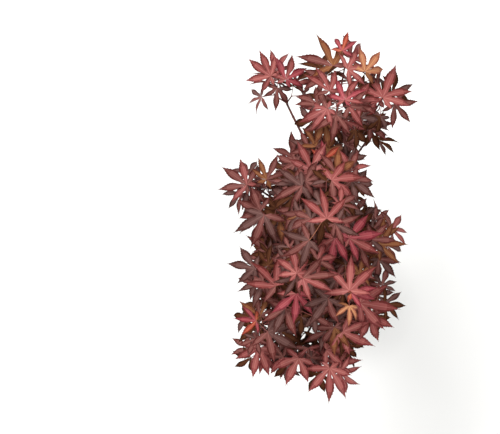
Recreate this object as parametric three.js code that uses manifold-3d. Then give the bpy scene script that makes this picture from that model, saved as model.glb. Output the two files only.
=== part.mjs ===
// A young purple-leaved Japanese maple, standing in a plain round nursery pot of compost.
// Millimetres, +Z up. The origin is the middle of the pot's flat underside, and +Y is the crown's long way.
// The trunk forks low into three leaders. They and their boughs fan out into many small masses of leaves.
import * as THREE from "three";
import { mergeVertices } from "three/addons/utils/BufferGeometryUtils.js";
import Module from "manifold-3d";

const wasm = await Module();
wasm.setup();

// ---------------------------------------------------------------- driving dimensions
const GAP = 0.3; // between pieces that touch
const LEAF_GAP = 0.6; // between masses of leaves that meet

const POT = {
  height: 130,
  rimRadius: 77,
  neckRadius: 73, // outside of the wall, just under the rim
  footRadius: 54,
  wall: 2.4,
  floor: 3,
  rimDepth: 13, // height of the rolled rim
  facets: 32,
  holes: 6,
  holeRadius: 5,
  holeCircle: 38,
};
const COMPOST_DROP = 15; // from the top of the rim down to the compost
const GROUND = POT.height - COMPOST_DROP;

const TRUNK = {
  top: [5, 4, 208],
  footRadius: 6.6,
  forkRadius: 5,
  flare: 0.65, // how much wider the root flare is, as a share of the radius
  flareReach: 0.1, // of the trunk's length
  buttresses: 3,
  buttressDepth: 0.16,
  sides: 10,
  steps: 10,
};

// Each limb leaves its parent at a share of the parent's length and ends in the mass that it feeds.
// rise is how strongly it keeps to its parent's heading before it turns towards its mass.
// Boughs leave a leader in pairs, one to each side, as a maple's buds are set.
const LIMB_SIDES = 6;
const LIMB_STEPS = 6;
const LIMBS = [
  { name: "leader_centre", from: "trunk", share: 1, into: "crown_top", foot: 4.4, tip: 1.9, rise: 0.5 },
  { name: "leader_far", from: "trunk", share: 0.9, into: "far_mid", foot: 4.1, tip: 1.8, rise: 0.35 },
  { name: "leader_near", from: "trunk", share: 0.78, into: "near_core", foot: 4.1, tip: 1.8, rise: 0.35 },
  { name: "leader_side", from: "leader_centre", share: 0.1, into: "near_centre", foot: 3.4, tip: 1.7, rise: 0.4 },
  { name: "bough_mid_left", from: "leader_centre", share: 0.66, into: "mid_left", foot: 1.9, tip: 1.2, rise: 0.5 },
  { name: "bough_mid_right", from: "leader_centre", share: 0.68, into: "mid_right", foot: 1.9, tip: 1.2, rise: 0.5 },
  { name: "bough_left_shoulder", from: "leader_centre", share: 0.5, into: "left_shoulder", foot: 2, tip: 1.2, rise: 0.4 },
  { name: "bough_right_shoulder", from: "leader_centre", share: 0.52, into: "right_shoulder", foot: 2, tip: 1.2, rise: 0.5 },
  { name: "bough_left_arm", from: "leader_centre", share: 0.34, into: "left_arm", foot: 2.1, tip: 1.2, rise: 0.35 },
  { name: "bough_right_arm", from: "leader_centre", share: 0.36, into: "right_arm", foot: 2.1, tip: 1.2, rise: 0.35 },
  { name: "bough_low_left", from: "leader_centre", share: 0.2, into: "low_left", foot: 2, tip: 1.2, rise: 0.35 },
  { name: "bough_low_right", from: "leader_centre", share: 0.22, into: "low_right", foot: 2, tip: 1.2, rise: 0.35 },
  { name: "bough_far_tip", from: "leader_far", share: 0.74, into: "far_tip", foot: 2.1, tip: 1.3, rise: 0.3 },
  { name: "bough_far_right", from: "leader_far", share: 0.58, into: "far_right", foot: 2.1, tip: 1.3, rise: 0.3 },
  { name: "bough_far_left", from: "leader_far", share: 0.56, into: "far_left", foot: 2.1, tip: 1.2, rise: 0.3 },
  { name: "bough_far_low", from: "leader_far", share: 0.42, into: "far_low", foot: 2, tip: 1.2, rise: 0.3 },
  { name: "bough_neck", from: "leader_far", share: 0.4, into: "neck", foot: 2, tip: 1.2, rise: 0.6 },
  { name: "bough_low_far", from: "leader_far", share: 0.26, into: "low_far", foot: 2, tip: 1.2, rise: 0.4 },
  { name: "bough_near_right_shoulder", from: "leader_side", share: 0.56, into: "near_right_shoulder", foot: 1.9, tip: 1.2, rise: 0.5 },
  { name: "bough_near_left_shoulder", from: "leader_side", share: 0.52, into: "near_left_shoulder", foot: 1.9, tip: 1.2, rise: 0.4 },
  { name: "bough_near_mid", from: "leader_side", share: 0.66, into: "near_mid", foot: 1.8, tip: 1.2, rise: 0.4 },
  { name: "bough_right_fan", from: "leader_near", share: 0.5, into: "right_fan", foot: 2.2, tip: 1.3, rise: 0.35 },
  { name: "bough_near_left", from: "leader_near", share: 0.48, into: "near_left", foot: 2.2, tip: 1.3, rise: 0.35 },
  { name: "bough_low_near", from: "leader_near", share: 0.3, into: "low_near", foot: 2, tip: 1.2, rise: 0.3 },
  { name: "bough_near_tip", from: "leader_near", share: 0.72, into: "near_tip", foot: 2.1, tip: 1.2, rise: 0.3 },
  { name: "bough_near_tip_left", from: "leader_near", share: 0.66, into: "near_tip_left", foot: 1.9, tip: 1.1, rise: 0.3 },
  { name: "bough_near_left_tip", from: "bough_near_left", share: 0.5, into: "near_left_tip", foot: 1.6, tip: 1.1, rise: 0.3 },
];

// Each mass of leaves: its middle and its half sizes. Where two meet, the one further down gives way.
const MASS_DETAIL = 2;
const LUMP = 0.17; // how uneven a mass is, as a share of its half sizes
const MASSES = [
  { name: "crown_top", at: [4, -16, 556], half: [36, 32, 31] },
  { name: "mid_right", at: [30, 37, 518], half: [32, 31, 31] },
  { name: "mid_left", at: [-27, 32, 500], half: [34, 31, 31] },
  { name: "neck", at: [-4, 84, 466], half: [31, 29, 29] },
  { name: "far_mid", at: [22, 137, 478], half: [45, 30, 32] },
  { name: "far_tip", at: [34, 198, 444], half: [44, 38, 30] },
  { name: "far_right", at: [88, 172, 420], half: [31, 37, 27] },
  { name: "far_left", at: [-50, 194, 408], half: [37, 28, 26] },
  { name: "far_low", at: [75, 132, 385], half: [28, 20, 24] },
  { name: "left_arm", at: [-84, 57, 402], half: [33, 28, 26] },
  { name: "left_shoulder", at: [-65, 2, 450], half: [34, 32, 31] },
  { name: "right_shoulder", at: [36, -34, 496], half: [38, 28, 30] },
  { name: "right_arm", at: [88, -20, 424], half: [28, 30, 25] },
  { name: "near_centre", at: [-24, -71, 524], half: [34, 31, 32] },
  { name: "near_left_shoulder", at: [-64, -74, 466], half: [38, 31, 32] },
  { name: "near_right_shoulder", at: [31, -86, 502], half: [34, 30, 32] },
  { name: "right_fan", at: [70, -106, 440], half: [35, 46, 32] },
  { name: "near_mid", at: [-26, -116, 470], half: [33, 30, 32] },
  { name: "near_core", at: [22, -134, 430], half: [35, 31, 31] },
  { name: "near_left", at: [-70, -128, 420], half: [35, 33, 32] },
  { name: "near_left_tip", at: [-74, -162, 366], half: [34, 31, 27] },
  { name: "near_tip_left", at: [-27, -168, 384], half: [30, 30, 26] },
  { name: "near_tip", at: [16, -181, 388], half: [33, 41, 28] },
  { name: "low_far", at: [-24, 88, 362], half: [36, 38, 30] },
  { name: "low_left", at: [-52, -28, 358], half: [36, 42, 30] },
  { name: "low_right", at: [54, 24, 356], half: [36, 40, 30] },
  { name: "low_near", at: [48, -72, 348], half: [36, 38, 30] },
];

// ---------------------------------------------------------------- materials
const plastic = new THREE.MeshStandardMaterial({ color: 0x1b1c1e, roughness: 0.5, metalness: 0 });
const compostEarth = new THREE.MeshStandardMaterial({ color: 0x2b1d14, roughness: 0.95, metalness: 0 });
const bark = new THREE.MeshStandardMaterial({ color: 0x5d4438, roughness: 0.8, metalness: 0 });
const purpleLeaves = new THREE.MeshStandardMaterial({ color: 0x6b2a31, roughness: 0.55, metalness: 0 });

// ---------------------------------------------------------------- solids and meshes
function solidOf(geometry) {
  const bare = new THREE.BufferGeometry().setAttribute("position", geometry.getAttribute("position").clone());
  if (geometry.index) bare.setIndex(geometry.index.clone());
  const merged = mergeVertices(bare, 1e-3);
  return new wasm.Manifold(
    new wasm.Mesh({
      numProp: 3,
      vertProperties: merged.attributes.position.array,
      triVerts: new Uint32Array(merged.index.array),
    }),
  );
}

function meshOf(name, solid, material) {
  const { vertProperties, triVerts } = solid.getMesh();
  const geometry = new THREE.BufferGeometry()
    .setAttribute("position", new THREE.BufferAttribute(new Float32Array(vertProperties), 3))
    .setIndex(new THREE.BufferAttribute(new Uint32Array(triVerts), 1));
  geometry.computeVertexNormals();
  const mesh = new THREE.Mesh(geometry, material);
  mesh.name = name;
  return mesh;
}

// The biggest of the bodies that a cut leaves.
function biggest(solid) {
  return solid.decompose().reduce((a, b) => (b.volume() > a.volume() ? b : a));
}

// ---------------------------------------------------------------- the pot and its compost
function turned(profile, facets) {
  const outline = profile.map(([r, z]) => new THREE.Vector2(r, z));
  return solidOf(new THREE.LatheGeometry(outline, facets).rotateX(Math.PI / 2));
}

function wallRadius(z) {
  const neck = POT.height - POT.rimDepth;
  return THREE.MathUtils.lerp(POT.footRadius, POT.neckRadius, Math.min(z / neck, 1));
}

function pot() {
  const neck = POT.height - POT.rimDepth;
  const inside = (z) => wallRadius(z) - POT.wall;
  const shell = turned(
    [
      [0, 0],
      [POT.footRadius, 0],
      [POT.neckRadius, neck],
      [POT.rimRadius, neck + 1],
      [POT.rimRadius, POT.height - 1],
      [POT.rimRadius - 1, POT.height],
      [inside(neck), POT.height],
      [inside(neck), neck],
      [inside(POT.floor), POT.floor],
      [0, POT.floor],
    ],
    POT.facets,
  );
  const holes = Array.from({ length: POT.holes }, (_, i) => {
    const turn = (2 * Math.PI * i) / POT.holes;
    const drill = new THREE.CylinderGeometry(POT.holeRadius, POT.holeRadius, 4 * POT.floor, 10)
      .rotateX(Math.PI / 2)
      .translate(POT.holeCircle * Math.cos(turn), POT.holeCircle * Math.sin(turn), 0);
    return solidOf(drill);
  });
  return holes.reduce((solid, hole) => solid.subtract(hole), shell);
}

function compost() {
  const neck = POT.height - POT.rimDepth;
  const radius = (z) => wallRadius(z) - POT.wall - GAP * 1.5;
  const bottom = POT.floor + GAP;
  return turned(
    [
      [0, bottom],
      [radius(bottom), bottom],
      [radius(Math.min(neck, GROUND)), Math.min(neck, GROUND)],
      [0, GROUND],
    ],
    POT.facets,
  );
}

// ---------------------------------------------------------------- trunk, leaders and boughs
// A round rod bent along a curve. radiusAt gives its radius for a share of its length and an angle round it.
function bentRod(curve, radiusAt, sides, steps) {
  const rod = new THREE.CylinderGeometry(1, 1, 1, sides, steps);
  const { normals, binormals } = curve.computeFrenetFrames(steps, false);
  const place = rod.getAttribute("position");
  for (let i = 0; i < place.count; i++) {
    const along = place.getY(i) + 0.5;
    const [across, over] = [place.getX(i), place.getZ(i)];
    const ring = Math.round(along * steps);
    const radius = radiusAt(along, Math.atan2(over, across));
    const at = curve
      .getPointAt(along)
      .addScaledVector(binormals[ring], across * radius)
      .addScaledVector(normals[ring], over * radius);
    place.setXYZ(i, at.x, at.y, at.z);
  }
  return solidOf(rod);
}

function trunkCurve() {
  const top = new THREE.Vector3(...TRUNK.top);
  const foot = new THREE.Vector3(0, 0, GROUND + GAP);
  const third = (top.z - foot.z) / 3;
  return new THREE.CubicBezierCurve3(
    foot,
    foot.clone().add(new THREE.Vector3(0, 0, third)),
    top.clone().sub(new THREE.Vector3(-2, 3, third)),
    top,
  );
}

function trunkRadius(grow) {
  return (along, angle) => {
    const taper = THREE.MathUtils.lerp(TRUNK.footRadius, TRUNK.forkRadius, along);
    const flare = Math.exp(-along / TRUNK.flareReach);
    const ridge = 1 + TRUNK.buttressDepth * flare * Math.cos(TRUNK.buttresses * angle);
    return taper * (1 + TRUNK.flare * flare) * ridge + grow;
  };
}

function limbCurve(limb, parent, mass) {
  const foot = parent.getPointAt(limb.share);
  const heading = parent.getTangentAt(limb.share);
  const end = new THREE.Vector3(...mass.at);
  const span = end.clone().sub(foot);
  const reach = span.length();
  const start = heading.multiplyScalar(limb.rise).add(span.normalize().multiplyScalar(1 - limb.rise)).normalize();
  const outwards = new THREE.Vector3(mass.at[0], mass.at[1], 0).normalize();
  const arrive = new THREE.Vector3(0, 0, 0.75).addScaledVector(outwards, 0.8).normalize();
  return new THREE.CubicBezierCurve3(
    foot,
    foot.clone().addScaledVector(start, reach * 0.38),
    end.clone().addScaledVector(arrive, -reach * 0.3),
    end,
  );
}

function limbRadius(limb, grow) {
  return (along) => THREE.MathUtils.lerp(limb.foot, limb.tip, along) + grow;
}

// Every limb as { name, solid, room, into }: room is a slightly fatter copy that cuts what meets it.
function growLimbs() {
  const curves = { trunk: trunkCurve() };
  const limbs = [
    {
      name: "trunk",
      solid: bentRod(curves.trunk, trunkRadius(0), TRUNK.sides, TRUNK.steps),
      room: bentRod(curves.trunk, trunkRadius(GAP), TRUNK.sides, TRUNK.steps),
    },
  ];
  for (const limb of LIMBS) {
    const mass = MASSES.find((m) => m.name === limb.into);
    const curve = limbCurve(limb, curves[limb.from], mass);
    curves[limb.name] = curve;
    const rod = (grow) => bentRod(curve, limbRadius(limb, grow), LIMB_SIDES, LIMB_STEPS);
    const solid = limbs.reduce((kept, other) => kept.subtract(other.room), rod(0));
    limbs.push({ name: limb.name, solid: biggest(solid), room: rod(GAP), into: limb.into });
  }
  return limbs;
}

// ---------------------------------------------------------------- masses of leaves
// An uneven ball: seed picks where it bulges, and grow is how far every point is moved out.
function lump(mass, seed, grow) {
  const ball = new THREE.IcosahedronGeometry(1, MASS_DETAIL);
  const place = ball.getAttribute("position");
  const half = new THREE.Vector3(...mass.half);
  for (let i = 0; i < place.count; i++) {
    const out = new THREE.Vector3().fromBufferAttribute(place, i).normalize();
    const broad = Math.sin(3.3 * out.x + 1.9 * seed) * Math.cos(2.9 * out.y - 1.3 * seed);
    const fine = Math.sin(5.3 * out.z + 4.1 * out.x + 2.3 * seed) * Math.cos(4.7 * out.y + seed);
    const swell = 1 + LUMP * (0.6 * broad + 0.4 * fine);
    const at = out.clone().multiply(half).multiplyScalar(swell).addScaledVector(out, grow);
    place.setXYZ(i, at.x + mass.at[0], at.y + mass.at[1], at.z + mass.at[2]);
  }
  return solidOf(ball);
}

function growMasses(limbs) {
  const placed = [];
  MASSES.forEach((mass, seed) => {
    const passing = limbs.filter((limb) => limb.into !== mass.name).map((limb) => limb.room);
    const cutters = [...placed.map((other) => other.room), ...passing];
    const solid = cutters.reduce((kept, cutter) => kept.subtract(cutter), lump(mass, seed, 0));
    placed.push({ name: mass.name, solid: biggest(solid), room: lump(mass, seed, LEAF_GAP) });
  });
  return placed;
}

// ---------------------------------------------------------------- the whole plant
const limbs = growLimbs();
const masses = growMasses(limbs);
const maple = new THREE.Group();
maple.add(meshOf("pot", pot(), plastic));
maple.add(meshOf("compost", compost(), compostEarth));
for (const limb of limbs) {
  const target = masses.find((mass) => mass.name === limb.into);
  const solid = target ? biggest(limb.solid.subtract(target.room)) : limb.solid;
  maple.add(meshOf(limb.name, solid, bark));
}
for (const mass of masses) maple.add(meshOf("leaves_" + mass.name, mass.solid, purpleLeaves));

export default maple;
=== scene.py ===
"""Looks of a young purple-leaved Japanese maple in a nursery pot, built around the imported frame.

Metres, +Z up, the same frame as the solids. Each mass of leaves is replaced by a twig that grows on from
the tip of its bough and carries pairs of leaves. The trunk and its leaders become one skin of bark.
"""
import math

import bpy
import numpy as np
from numpy.linalg import norm
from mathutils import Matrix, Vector, noise


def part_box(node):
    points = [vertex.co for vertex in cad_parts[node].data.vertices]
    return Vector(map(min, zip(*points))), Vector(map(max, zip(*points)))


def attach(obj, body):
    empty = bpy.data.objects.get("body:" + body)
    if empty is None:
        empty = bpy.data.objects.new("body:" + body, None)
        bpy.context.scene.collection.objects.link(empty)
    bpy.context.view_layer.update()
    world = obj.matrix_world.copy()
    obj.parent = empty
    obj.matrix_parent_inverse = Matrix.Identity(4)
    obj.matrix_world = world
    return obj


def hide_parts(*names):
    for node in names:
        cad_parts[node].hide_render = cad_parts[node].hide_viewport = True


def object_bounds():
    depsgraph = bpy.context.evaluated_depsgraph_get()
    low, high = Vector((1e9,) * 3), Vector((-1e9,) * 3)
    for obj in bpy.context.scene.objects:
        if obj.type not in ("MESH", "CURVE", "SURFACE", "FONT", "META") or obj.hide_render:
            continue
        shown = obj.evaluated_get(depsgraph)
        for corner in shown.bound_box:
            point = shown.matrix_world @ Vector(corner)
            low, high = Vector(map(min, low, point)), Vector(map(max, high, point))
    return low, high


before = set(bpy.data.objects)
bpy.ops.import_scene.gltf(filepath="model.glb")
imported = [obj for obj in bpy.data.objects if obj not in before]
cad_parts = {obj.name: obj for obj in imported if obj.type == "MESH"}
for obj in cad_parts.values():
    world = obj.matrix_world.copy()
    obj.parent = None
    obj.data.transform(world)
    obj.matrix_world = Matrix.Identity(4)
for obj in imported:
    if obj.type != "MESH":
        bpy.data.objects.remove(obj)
cad_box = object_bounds()

SEED = 11
LIMB_STREAM, BARK_STREAM, CRUMB_STREAM = 100, 900, 901  # random streams; the sprays' start at 0
MM = 0.001
UP = np.array([0.0, 0.0, 1.0])
ROOT = "root"

# ---------- names in the frame
LEADER_SPRAYS = {"leader_centre": "crown_top", "leader_far": "far_mid", "leader_near": "near_core",
                 "leader_side": "near_centre"}
LIMBS = sorted(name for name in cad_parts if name.split("_")[0] in ("leader", "bough"))
WOODEN = [*LIMBS, "trunk"]

# ---------- colours
# Each tone of leaf: its blade, darker rim and points, veins, dull underside, gloss, and nearest kin.
TONES = {
    # shade is partly the dull bronze-green that shaded maple leaves have and partly painted shade: it
    # darkens the low and deep leaves of the crown.
    "shade": ("#4f2e1e", "#331b12", "#5d3b29", "#44281c", 0.0, "plum"),
    "plum": ("#61433f", "#42231f", "#755550", "#573937", 0.03, "burgundy"),
    "burgundy": ("#754540", "#4f221f", "#8a5a53", "#6a3f3a", 0.05, "plum"),
    "wine": ("#8c4946", "#5e2523", "#a3655f", "#7c433e", 0.09, "burgundy"),
    "crimson": ("#954147", "#682229", "#aa5d5e", "#833d3f", 0.09, "wine"),
    "rosy": ("#99544f", "#6c2b2b", "#b17068", "#8d4f49", 0.13, "wine"),
    "scarlet": ("#a24a37", "#74271d", "#b86c54", "#914b3a", 0.08, "crimson"),
    "rust": ("#815035", "#5b2f20", "#966745", "#784f39", 0.04, "burgundy"),
    "bronze": ("#a86e50", "#7c4532", "#bf8c63", "#95674d", 0.07, "rust"),
}
SHADE, PLUM, BURGUNDY, WINE, CRIMSON, ROSY, SCARLET, RUST, BRONZE = TONES
KIN_SHARE = 0.34  # of the lobes are of their tone's kin
PARTS = {  # the roughness of each part of a leaf, and its share of the tone's gloss
    "blade": (0.4, 1.0),
    "flush": (0.44, 0.95),  # halfway from blade to rim
    "rim": (0.5, 0.9),
    "vein": (0.5, 1.0),
    "under": (0.68, 0.3),
}
TONE_NAMES, PART_NAMES = list(TONES), list(PARTS)

# Each spray: how many pairs of leaves hang below its crown, the tones they are dealt, and the leaves of its
# crown. Those have the place of the foot east and north of the mass's middle and down from its top, the way
# in degrees from +X, the size, and the tone. Lengths are in millimetres.
# The tones are the leaves' own colours but are partly dealt as painted light and shade: the lighter ones go
# to the top and the outer tips near and far, where light falls and shines through the leaves, the darker
# ones to the low sprays, where shade falls.
SPRAYS = {
    "crown_top": (2, (WINE, PLUM), (
        (0, -4, 0, 92, 40, ROSY), (-20, -28, 6, 215, 41, PLUM), (10, -8, 9, -28, 34, BURGUNDY))),
    "mid_right": (2, (BURGUNDY, WINE), (
        (-20, -6, 0, 14, 40, WINE), (-14, 4, 7, 84, 34, RUST), (4, -4, 11, -34, 36, BURGUNDY))),
    "mid_left": (2, (BURGUNDY, PLUM), (
        (4, -2, 0, 198, 41, PLUM), (2, -34, 13, -62, 32, RUST), (8, 4, 7, 24, 33, BURGUNDY))),
    "neck": (2, (RUST, BURGUNDY), (
        (-7, -28, 1, 112, 41, ROSY), (8, -15, 3, 42, 30, SCARLET), (0, 4, 14, 84, 32, RUST))),
    "far_mid": (3, (WINE, BURGUNDY), (
        (7, 4, 0, 72, 37, CRIMSON), (-11, 16, 2, 106, 38, WINE), (-14, -6, 4, 196, 41, WINE),
        (-3, -13, 5, -96, 37, BURGUNDY), (12, -3, 3, -8, 38, WINE), (22, 4, 9, 14, 34, WINE),
        (-26, 2, 13, 132, 34, BURGUNDY), (-17, -20, 15, -118, 32, RUST))),
    "far_tip": (3, (WINE, BURGUNDY), (
        (-16, -6, 0, 114, 52, RUST), (2, -10, 3, 14, 39, ROSY), (24, -12, 6, 54, 37, BRONZE),
        (-5, 12, -4, 75, 27, SCARLET))),
    "far_right": (2, (BURGUNDY, WINE), ((-6, -12, 0, 68, 56, ROSY), (-12, -8, 11, 204, 32, WINE))),
    "far_left": (1, (WINE, BURGUNDY), (
        (-9, -3, 0, 152, 39, ROSY), (10, -7, 2, 74, 38, CRIMSON), (22, -9, 10, 44, 28, WINE))),
    "far_low": (0, (RUST, BURGUNDY), ((-8, 1, 0, 4, 35, BURGUNDY), (-6, -4, 7, -64, 30, SHADE))),
    "left_arm": (1, (BURGUNDY, PLUM), (
        (-5, -7, 0, 145, 41, WINE), (20, 0, 2, 72, 38, RUST), (-2, -8, 8, -72, 34, BURGUNDY))),
    "left_shoulder": (2, (BURGUNDY, PLUM), (
        (-2, 1, 0, 250, 45, PLUM), (18, 0, 8, -50, 36, RUST), (-6, 8, 9, 160, 34, BURGUNDY))),
    "right_shoulder": (2, (WINE, BURGUNDY), (
        (-22, 1, 1, 261, 37, CRIMSON), (-5, 1, 0, 13, 43, CRIMSON), (8, -6, 11, -60, 34, BURGUNDY))),
    "right_arm": (1, (RUST, WINE), (
        (-14, -8, 0, 2, 37, RUST), (-15, -24, 10, -42, 33, BURGUNDY), (-12, 0, 8, 82, 32, RUST))),
    "near_centre": (2, (WINE, BURGUNDY), ((-7, -7, 0, 95, 36, ROSY), (0, -12, 2, 4, 45, WINE))),
    "near_left_shoulder": (3, (PLUM, BURGUNDY), (
        (9, -12, 0, 134, 46, WINE), (-16, 10, 10, 172, 36, PLUM), (-6, -6, 7, 200, 35, BURGUNDY))),
    "near_right_shoulder": (2, (RUST, BURGUNDY), (
        (1, -8, 0, 88, 47, ROSY), (3, -10, 4, 18, 34, SCARLET), (0, -26, -2, -95, 26, BRONZE),
        (-24, -16, 10, -115, 41, PLUM))),
    "right_fan": (2, (WINE, BURGUNDY), ((-22, 3, 0, -2, 50, ROSY), (-10, -12, 9, -70, 36, WINE))),
    "near_mid": (3, (BURGUNDY, PLUM), ((-4, 22, 0, -92, 39, CRIMSON), (-17, 5, 10, -112, 38, BURGUNDY))),
    "near_core": (3, (PLUM, BURGUNDY), (
        (7, -3, 0, -24, 44, ROSY), (-3, 3, 4, -96, 37, RUST), (2, 12, 8, 86, 34, PLUM))),
    "near_left": (3, (BURGUNDY, PLUM), (
        (7, -8, 0, -38, 45, PLUM), (-7, 5, -2, 184, 29, SCARLET), (-2, 13, 8, 112, 33, RUST))),
    "near_left_tip": (2, (BURGUNDY, WINE), ((0, 10, 0, 254, 40, ROSY), (5, 6, 9, -58, 32, ROSY))),
    "near_tip_left": (2, (WINE, BURGUNDY), ((2, 3, 0, 240, 39, ROSY), (14, 16, 6, -92, 33, WINE))),
    "near_tip": (3, (WINE, ROSY), (
        (-3, 3, 0, -94, 45, ROSY), (-7, 26, 4, 6, 39, ROSY), (8, 8, 10, 58, 32, ROSY))),
    "low_far": (2, (PLUM, SHADE), ((-4, 6, 0, 110, 38, BURGUNDY), (6, -2, 6, 20, 34, SHADE))),
    "low_left": (3, (BURGUNDY, SHADE), ((-6, 0, 0, 190, 38, PLUM), (0, -8, 6, -110, 36, SHADE))),
    "low_right": (3, (PLUM, SHADE), ((-4, 0, 0, 10, 38, BURGUNDY), (-2, -8, 6, -70, 36, SHADE))),
    "low_near": (3, (BURGUNDY, SHADE), ((2, -6, 0, -60, 38, PLUM), (-6, -2, 6, -130, 36, SHADE))),
}
YOUNG_SIZE = 30  # crown leaves smaller than this are young, upright and folded


def linear(hex_colour):
    """A CSS colour as linear RGBA."""
    channels = [int(hex_colour[i:i + 2], 16) / 255 for i in (1, 3, 5)]
    return [c / 12.92 if c < 0.04045 else ((c + 0.055) / 1.055) ** 2.4 for c in channels] + [1.0]


# ---------- materials
def new_material(name, colour, roughness, gloss):
    """A Principled material. Returns it with its node tree and shader."""
    material = bpy.data.materials.new(name)
    material.use_nodes = True
    shader = material.node_tree.nodes["Principled BSDF"]
    shader.inputs["Base Color"].default_value = linear(colour)
    shader.inputs["Roughness"].default_value = roughness
    shader.inputs["Specular IOR Level"].default_value = gloss
    return material, material.node_tree, shader


def halfway(a, b):
    """The CSS colour midway between two."""
    return "#" + "".join(f"{(int(a[i:i + 2], 16) + int(b[i:i + 2], 16)) // 2:02x}" for i in (1, 3, 5))


def leaf_materials():
    """A plain material for each part of a leaf in each tone, in the order of the leaves' paints."""
    made = []
    for tone, (blade, rim, vein, under, gloss, _) in TONES.items():
        for part, colour in zip(PARTS, (blade, halfway(blade, rim), rim, vein, under)):
            roughness, shine = PARTS[part]
            made.append(new_material(f"leaf_{tone}_{part}", colour, roughness, gloss * shine)[0])
    return made


def ramp(tree, stops, factor):
    """A colour ramp through CSS colours, driven by a socket. Returns its colour output."""
    node = tree.nodes.new("ShaderNodeValToRGB")
    elements = node.color_ramp.elements
    elements.remove(elements[1])
    elements[0].position = stops[0][0]
    elements[0].color = linear(stops[0][1])
    for position, colour in stops[1:]:
        elements.new(position).color = linear(colour)
    tree.links.new(factor, node.inputs["Fac"])
    return node.outputs["Color"]


def own_place(tree):
    """The object's own coordinates, which are the frame's metres."""
    return tree.nodes.new("ShaderNodeTexCoord").outputs["Object"]


def noise_factor(tree, scale, detail=4.0, stretch=(1, 1, 1)):
    """Noise over the object, finer for a larger scale."""
    mapping = tree.nodes.new("ShaderNodeMapping")
    mapping.inputs["Scale"].default_value = stretch
    node = tree.nodes.new("ShaderNodeTexNoise")
    node.inputs["Scale"].default_value = scale
    node.inputs["Detail"].default_value = detail
    tree.links.new(own_place(tree), mapping.inputs["Vector"])
    tree.links.new(mapping.outputs["Vector"], node.inputs["Vector"])
    return node.outputs["Fac"]


def height_factor(tree, low, high):
    """0 at height low to 1 at height high, in metres."""
    split = tree.nodes.new("ShaderNodeSeparateXYZ")
    spread = tree.nodes.new("ShaderNodeMapRange")
    spread.inputs["From Min"].default_value = low
    spread.inputs["From Max"].default_value = high
    tree.links.new(own_place(tree), split.inputs["Vector"])
    tree.links.new(split.outputs["Z"], spread.inputs["Value"])
    return spread.outputs["Result"]


def mix(tree, under, over, factor):
    """A colour socket under another, or under a plain colour, mixed by a socket."""
    node = tree.nodes.new("ShaderNodeMix")
    node.data_type = "RGBA"
    tree.links.new(factor, node.inputs[0])  # this node's sockets for colours go by number
    tree.links.new(under, node.inputs[6])
    if isinstance(over, bpy.types.NodeSocket):
        tree.links.new(over, node.inputs[7])
    else:
        node.inputs[7].default_value = over
    return node.outputs[2]


def bump(tree, shader, height, strength, distance):
    """Relief from a height socket. The distance is in metres."""
    node = tree.nodes.new("ShaderNodeBump")
    node.inputs["Strength"].default_value = strength
    node.inputs["Distance"].default_value = distance
    tree.links.new(height, node.inputs["Height"])
    tree.links.new(node.outputs["Normal"], shader.inputs["Normal"])


BARK_AGE = (0.17, 0.33)  # old bark gives way to young between these heights, in metres


def bark_material():
    """Grey-brown at the foot, dark purple-red up the boughs, with pale flecks and fine cracks."""
    material, tree, shader = new_material("bark", "#6a5044", 0.72, 0.3)
    old = ramp(tree, [(0.3, "#4c3a31"), (0.5, "#6e5648"), (0.7, "#8d7768")],
               noise_factor(tree, 90, 6, (1, 1, 0.25)))
    young = ramp(tree, [(0.3, "#3b1f22"), (0.55, "#5a2f2f"), (0.75, "#7a4a3c")],
                 noise_factor(tree, 120, 5, (1, 1, 0.4)))
    aged = mix(tree, old, young, height_factor(tree, *BARK_AGE))
    flecks = ramp(tree, [(0.62, "#000000"), (0.7, "#b3b3b3")], noise_factor(tree, 420, 2, (1, 1, 0.6)))
    tree.links.new(mix(tree, aged, linear("#a08a78"), flecks), shader.inputs["Base Color"])
    bump(tree, shader, noise_factor(tree, 700, 8, (1, 1, 0.2)), 0.35, 0.0004)
    return material


def plain(name, colour):
    """A material of one colour."""
    return new_material(name, colour, 0.5, 0.4)[0]


def placed(name, data):
    """A new object in the scene."""
    made = bpy.data.objects.new(name, data)
    bpy.context.scene.collection.objects.link(made)
    return made


# ---------- meshes from arrays
CREASE = 70  # degrees; edges that turn more stay sharp
ODD_WAY = (0.31, 0.73, 0.61)  # no limb runs this way


class Heap:
    """Many small closed pieces, gathered as arrays and joined into one mesh."""

    def __init__(self):
        self.verts, self.quads, self.tris, self.quad_paint, self.tri_paint = [], [], [], [], []
        self.count = 0

    def add(self, verts, quads, tris, quad_paint=0, tri_paint=None):
        """Adds a piece. The paints number its materials. Triangles take the quads' if not told."""
        tri_paint = quad_paint if tri_paint is None else tri_paint
        self.verts.append(verts)
        self.quads.append(quads + self.count)
        self.tris.append(tris + self.count)
        self.quad_paint.append(np.broadcast_to(quad_paint, len(quads)))
        self.tri_paint.append(np.broadcast_to(tri_paint, len(tris)))
        self.count += len(verts)

    def build(self, name, materials):
        """The object, with only those of the materials that its faces use."""
        verts = np.concatenate(self.verts)
        quads, tris = np.concatenate(self.quads), np.concatenate(self.tris)
        used, slots = np.unique(np.concatenate(self.quad_paint + self.tri_paint), return_inverse=True)
        mesh = bpy.data.meshes.new(name)
        mesh.vertices.add(len(verts))
        mesh.vertices.foreach_set("co", verts.astype(np.float32).ravel())
        corners = np.concatenate([quads.ravel(), tris.ravel()])
        mesh.loops.add(len(corners))
        mesh.loops.foreach_set("vertex_index", corners.astype(np.int32))
        sizes = np.repeat([4, 3], [len(quads), len(tris)])
        mesh.polygons.add(len(sizes))
        mesh.polygons.foreach_set("loop_start", (np.cumsum(sizes) - sizes).astype(np.int32))
        for index in used:
            mesh.materials.append(materials[index])
        mesh.polygons.foreach_set("material_index", slots.astype(np.int32))
        mesh.update(calc_edges=True)
        mesh.validate()
        mesh.shade_smooth()
        mesh.set_sharp_from_angle(angle=math.radians(CREASE))
        return placed(name, mesh)


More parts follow.
